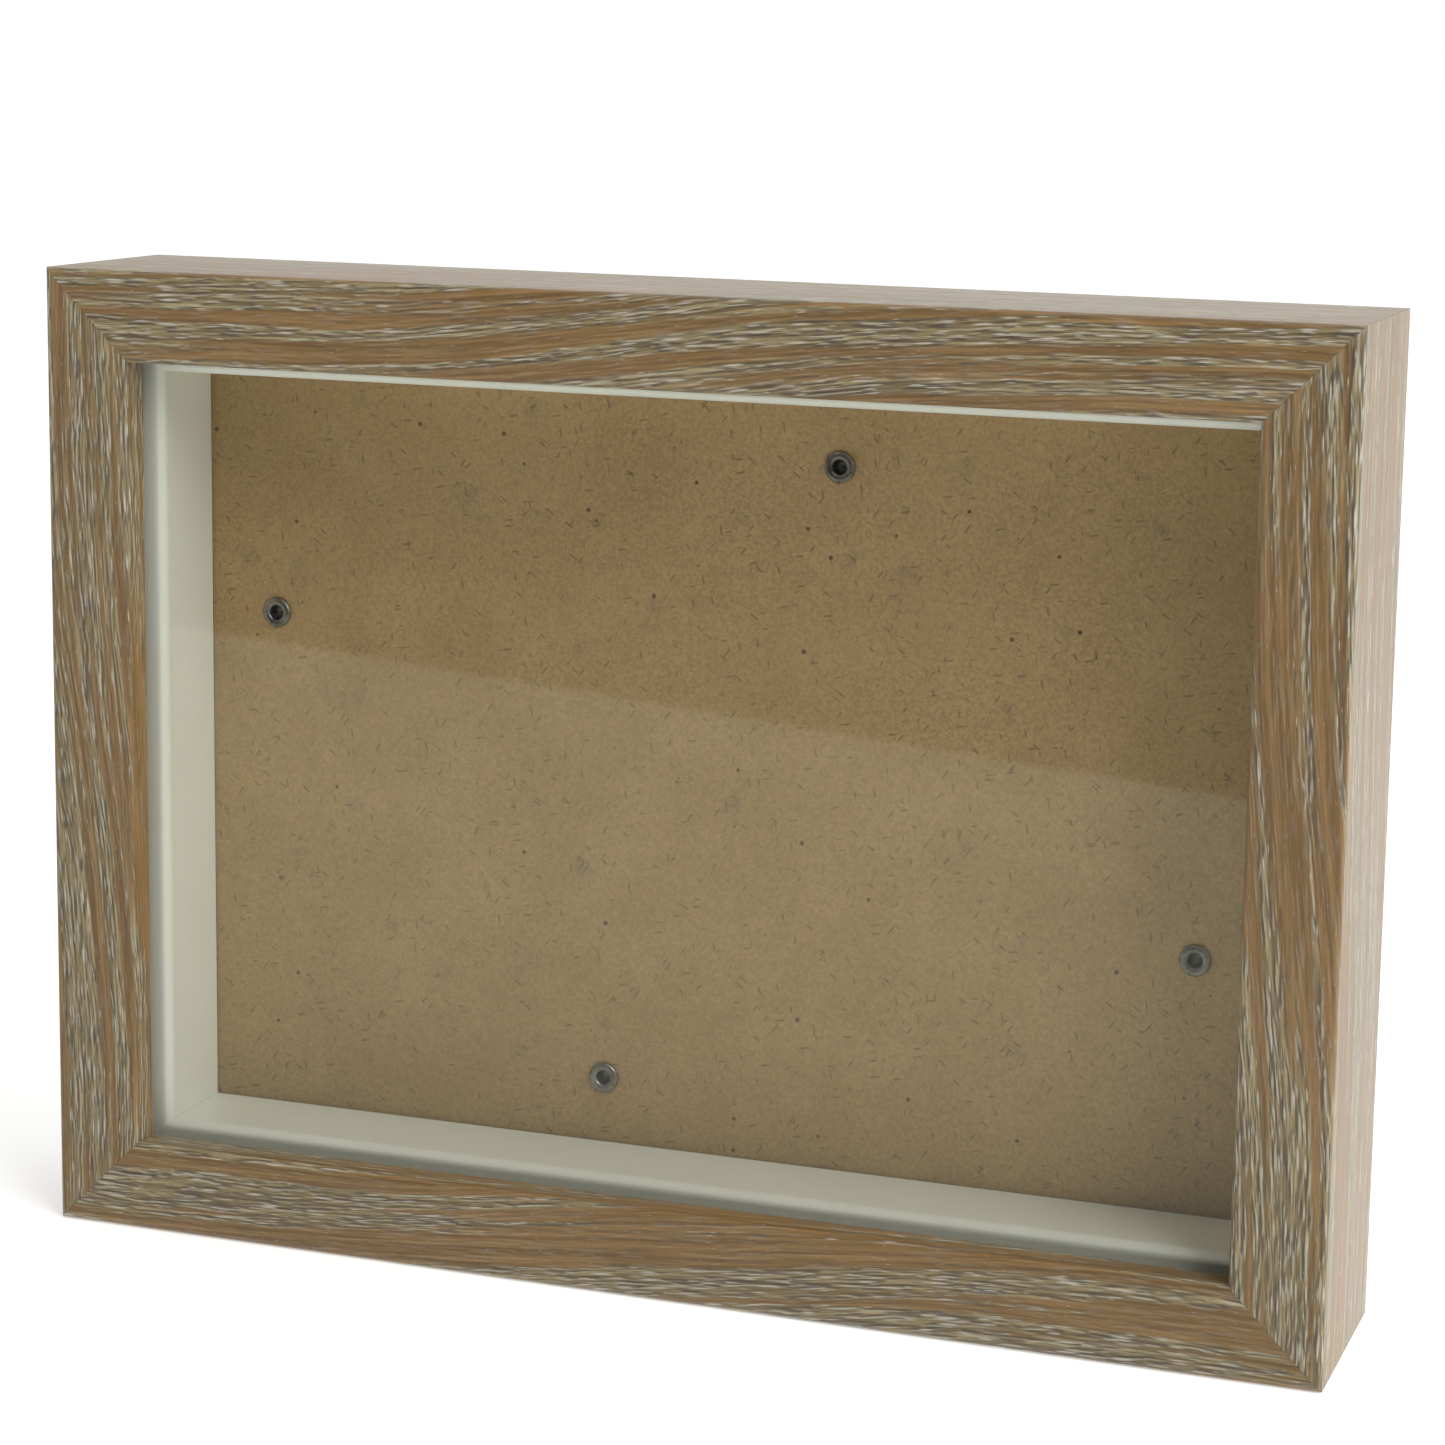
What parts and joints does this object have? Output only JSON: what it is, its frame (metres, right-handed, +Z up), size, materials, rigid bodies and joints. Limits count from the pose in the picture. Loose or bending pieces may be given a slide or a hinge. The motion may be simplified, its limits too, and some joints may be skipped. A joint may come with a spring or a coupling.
{
  "type": "shadow box",
  "caption": "Deep mitred box frame in wood-grain foil with front glazing, a cream spacer liner and a lift-out backboard held by riveted turn buttons.",
  "frame": {"origin": "middle of the underside of the bottom rail, half-way between the front and back faces", "axes": "+X to the right seen from the front, +Y from the glazed front to the back, +Z up"},
  "size_m": [0.2, 0.037, 0.149],
  "materials": {
    "oak_foil": "limed driftwood-oak grain foil over fibreboard, satin",
    "cream_foil": "warm cream-grey foil over fibreboard, satin",
    "raw_board": "bare medium-density fibreboard with dark fibre flecks",
    "clear_glass": "clear float glass",
    "zinc_steel": "bright zinc plate",
    "dark_steel": "dull nickel plate",
    "brassed_steel": "brass-plated steel"
  },
  "bodies": {
    "frame": {"rail_top": "oak_foil", "rail_bottom": "oak_foil", "rail_left": "oak_foil", "rail_right": "oak_foil", "glazing": "clear_glass", "liner_top": "cream_foil", "liner_bottom": "cream_foil", "liner_left": "cream_foil", "liner_right": "cream_foil", "v_nail_bottom_left_outer": "zinc_steel", "v_nail_bottom_left_inner": "zinc_steel", "v_nail_bottom_right_outer": "zinc_steel", "v_nail_bottom_right_inner": "zinc_steel", "v_nail_top_left_outer": "zinc_steel", "v_nail_top_left_inner": "zinc_steel", "v_nail_top_right_outer": "zinc_steel", "v_nail_top_right_inner": "zinc_steel", "hanger_top": "brassed_steel", "hanger_left": "brassed_steel", "hanger_pin_top_a": "brassed_steel", "hanger_pin_top_b": "brassed_steel", "hanger_pin_left_a": "brassed_steel", "hanger_pin_left_b": "brassed_steel"},
    "back_panel": {"backboard": "raw_board", "rivet_top": "dark_steel", "rivet_bottom": "dark_steel", "rivet_left": "dark_steel", "rivet_right": "dark_steel"},
    "button_top": {"turn_button_top": "zinc_steel"},
    "button_bottom": {"turn_button_bottom": "zinc_steel"},
    "button_left": {"turn_button_left": "zinc_steel"},
    "button_right": {"turn_button_right": "zinc_steel"}
  },
  "joints": [
    {"name": "back_panel_lift_out", "type": "slide", "parent": "frame", "child": "back_panel", "axis": [0, 1, 0], "range_m": [0, 0.03]},
    {"name": "turn_button_top_turn", "type": "hinge", "parent": "back_panel", "child": "button_top", "pos_m": [0.0193, 0.0086, 0.123], "axis": [0, 1, 0], "continuous": true},
    {"name": "turn_button_bottom_turn", "type": "hinge", "parent": "back_panel", "child": "button_bottom", "pos_m": [-0.0173, 0.0086, 0.026], "axis": [0, 1, 0], "continuous": true},
    {"name": "turn_button_left_turn", "type": "hinge", "parent": "back_panel", "child": "button_left", "pos_m": [-0.073, 0.0086, 0.0949], "axis": [0, 1, 0], "continuous": true},
    {"name": "turn_button_right_turn", "type": "hinge", "parent": "back_panel", "child": "button_right", "pos_m": [0.075, 0.0086, 0.0541], "axis": [0, 1, 0], "continuous": true}
  ]
}
